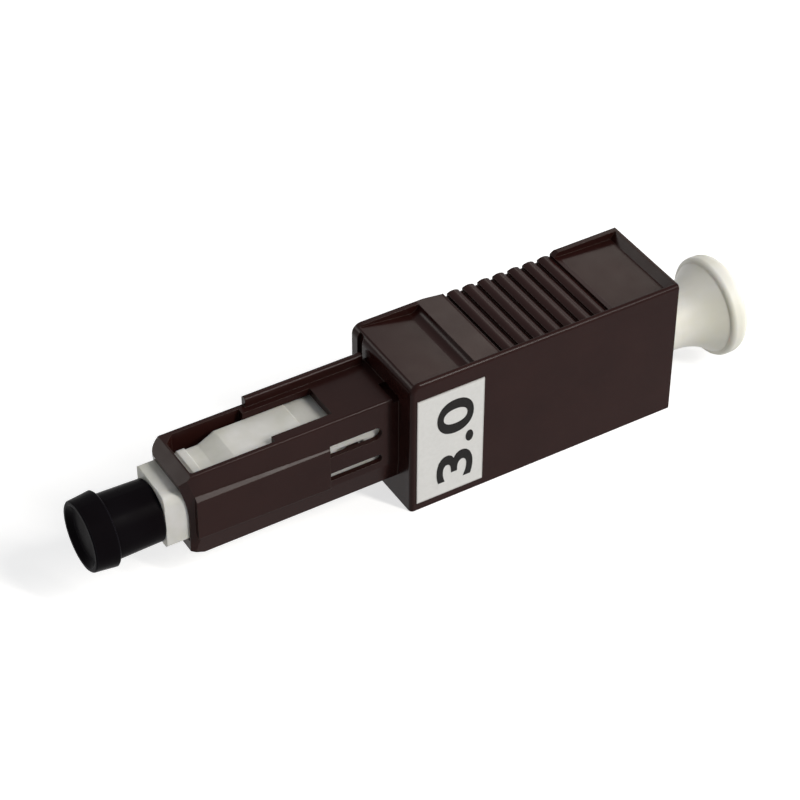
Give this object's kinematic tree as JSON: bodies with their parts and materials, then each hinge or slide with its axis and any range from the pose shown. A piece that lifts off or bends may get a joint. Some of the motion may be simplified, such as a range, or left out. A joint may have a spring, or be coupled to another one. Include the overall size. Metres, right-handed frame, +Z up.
{
  "type": "fibre attenuator",
  "caption": "In-line fibre attenuator: a push-pull plug with a sprung ceramic ferrule at one end and a matching port at the other, fitted with its ferrule cap and dust plug.",
  "frame": {"origin": "centre of the adapter body's flat underside", "axes": "+X along the light path from the ferrule tip to the port, -Y the keyed and labelled side, +Z up towards the finger grip"},
  "size_m": [0.048, 0.0075, 0.0104],
  "materials": {
    "housing": "satin moulded, dark brown",
    "label": "printed film, pale grey",
    "frame": "moulded, cream white, slightly translucent",
    "ceramic": "polished zirconia",
    "fibre": "polished ends",
    "flange": "turned",
    "spring": "drawn wire",
    "seat": "turned",
    "holder": "moulded, white",
    "cap": "glossy black",
    "dust_plug": "soft, cream white"
  },
  "bodies": {
    "housing": {"outer_housing": "housing", "label": "label"},
    "frame": {"plug_frame": "frame", "sleeve_holder": "holder", "latch_holder": "holder", "split_sleeve": "ceramic", "spring_seat": "seat", "ferrule_spring": "spring"},
    "ferrule": {"ferrule": "ceramic", "attenuating_fibre": "fibre", "ferrule_flange": "flange"},
    "cap": {"ferrule_cap": "cap"},
    "dust_plug": {"dust_plug": "dust_plug"}
  },
  "joints": [
    {"name": "frame_slide", "type": "slide", "parent": "housing", "child": "frame", "axis": [1, 0, 0], "range_m": [-0.0003, 0.0007]},
    {"name": "ferrule_float", "type": "slide", "parent": "frame", "child": "ferrule", "axis": [1, 0, 0], "range_m": [0, 0.0005], "stiffness_N_per_m": 1000, "springref_m": -0.003, "deforming": ["ferrule_spring"]},
    {"name": "cap_pull", "type": "slide", "parent": "frame", "child": "cap", "axis": [-1, 0, 0], "range_m": [0, 0.008]},
    {"name": "dust_plug_pull", "type": "slide", "parent": "housing", "child": "dust_plug", "axis": [1, 0, 0], "range_m": [0, 0.006]}
  ]
}
